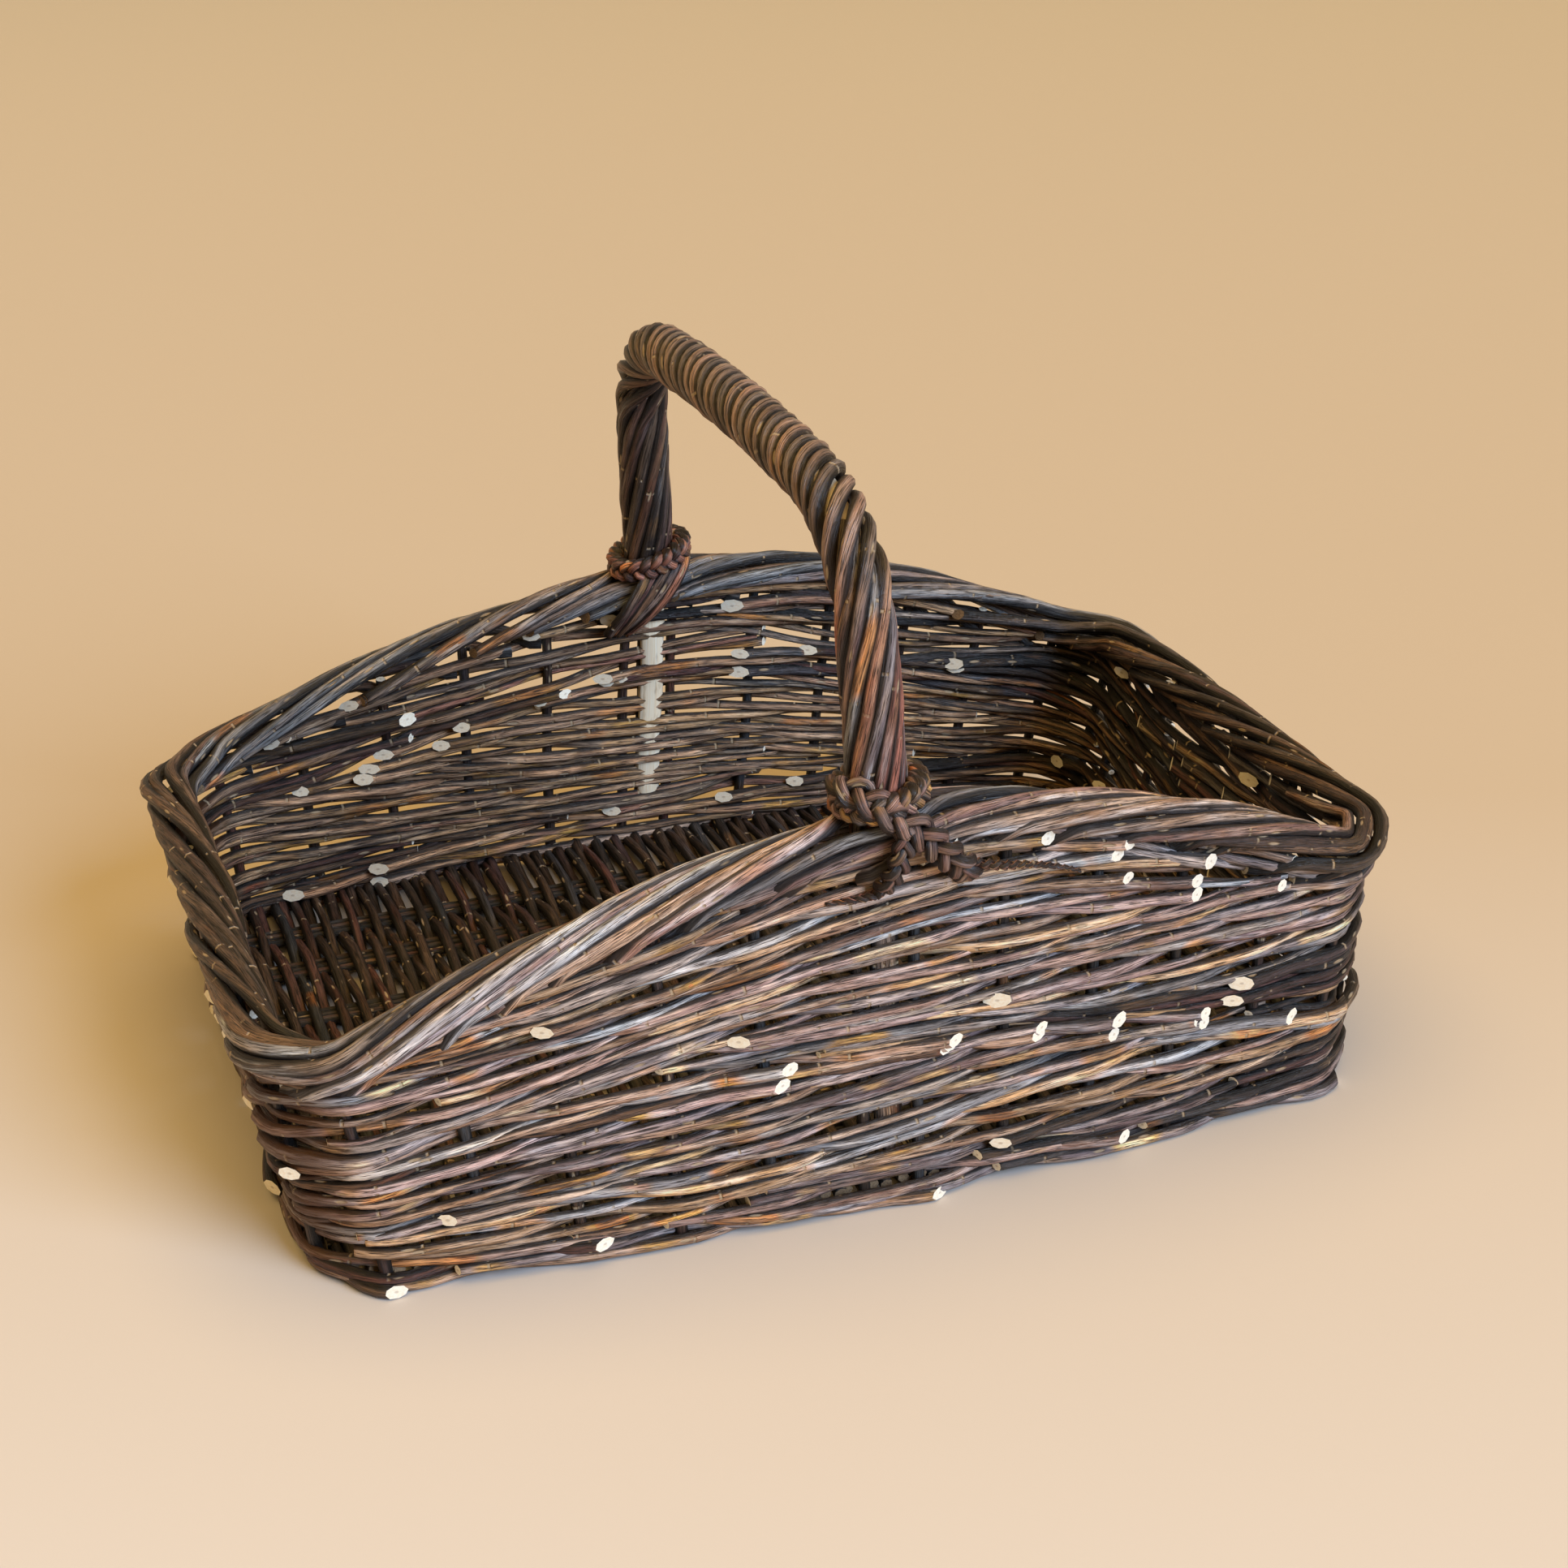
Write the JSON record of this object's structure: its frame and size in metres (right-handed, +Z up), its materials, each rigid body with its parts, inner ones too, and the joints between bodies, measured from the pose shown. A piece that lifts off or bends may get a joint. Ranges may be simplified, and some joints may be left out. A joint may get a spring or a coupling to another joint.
{
  "type": "trug",
  "caption": "Rectangular willow trug with randed walls, a border that arches up at the middle of the long sides, and a fixed roped bow handle across it.",
  "frame": {"origin": "middle of the underside, on the surface that the basket stands on", "axes": "+X along the long sides, +Y from the near long side to the far one, +Z up"},
  "size_m": [0.548, 0.37, 0.3243],
  "materials": {
    "bark_dark": "unpeeled willow bark, dark purple-brown to blue-grey, low sheen",
    "bark_brown": "unpeeled willow bark, red-brown to ochre, low sheen",
    "peeled_willow": "peeled and shaved willow, matt cream"
  },
  "bodies": {
    "root": {"base_weave": "bark_dark", "base_stick_1": "bark_brown", "base_stick_2": "bark_brown", "base_stick_3": "bark_brown", "base_stick_4": "bark_brown", "base_stick_5": "bark_brown", "base_stick_6": "bark_brown", "base_stick_7": "bark_brown", "near_stake_1": "bark_dark", "near_stake_2": "bark_dark", "near_stake_3": "bark_dark", "near_stake_4": "bark_dark", "near_stake_5": "bark_dark", "near_stake_6": "bark_dark", "near_stake_7": "bark_dark", "near_stake_8": "bark_dark", "near_stake_9": "bark_dark", "near_stake_10": "bark_dark", "far_stake_1": "bark_dark", "far_stake_2": "bark_dark", "far_stake_3": "bark_dark", "far_stake_4": "bark_dark", "far_stake_5": "bark_dark", "far_stake_6": "bark_dark", "far_stake_7": "bark_dark", "far_stake_8": "bark_dark", "far_stake_9": "bark_dark", "far_stake_10": "bark_dark", "left_stake_1": "bark_dark", "left_stake_2": "bark_dark", "left_stake_3": "bark_dark", "left_stake_4": "bark_dark", "left_stake_5": "bark_dark", "left_stake_6": "bark_dark", "right_stake_1": "bark_dark", "right_stake_2": "bark_dark", "right_stake_3": "bark_dark", "right_stake_4": "bark_dark", "right_stake_5": "bark_dark", "right_stake_6": "bark_dark", "corner_stake_1": "bark_dark", "corner_stake_2": "bark_dark", "corner_stake_3": "bark_dark", "corner_stake_4": "bark_dark", "corner_stake_5": "bark_dark", "corner_stake_6": "bark_dark", "corner_stake_7": "bark_dark", "corner_stake_8": "bark_dark", "near_wall_weave": "bark_brown", "near_border": "bark_dark", "far_wall_weave": "bark_brown", "far_border": "bark_dark", "left_wall_weave": "bark_brown", "left_border": "bark_dark", "right_wall_weave": "bark_brown", "right_border": "bark_dark", "handle_bow": "peeled_willow", "handle_roping": "bark_brown", "near_handle_tie": "bark_dark", "far_handle_tie": "bark_dark"}
  },
  "joints": []
}
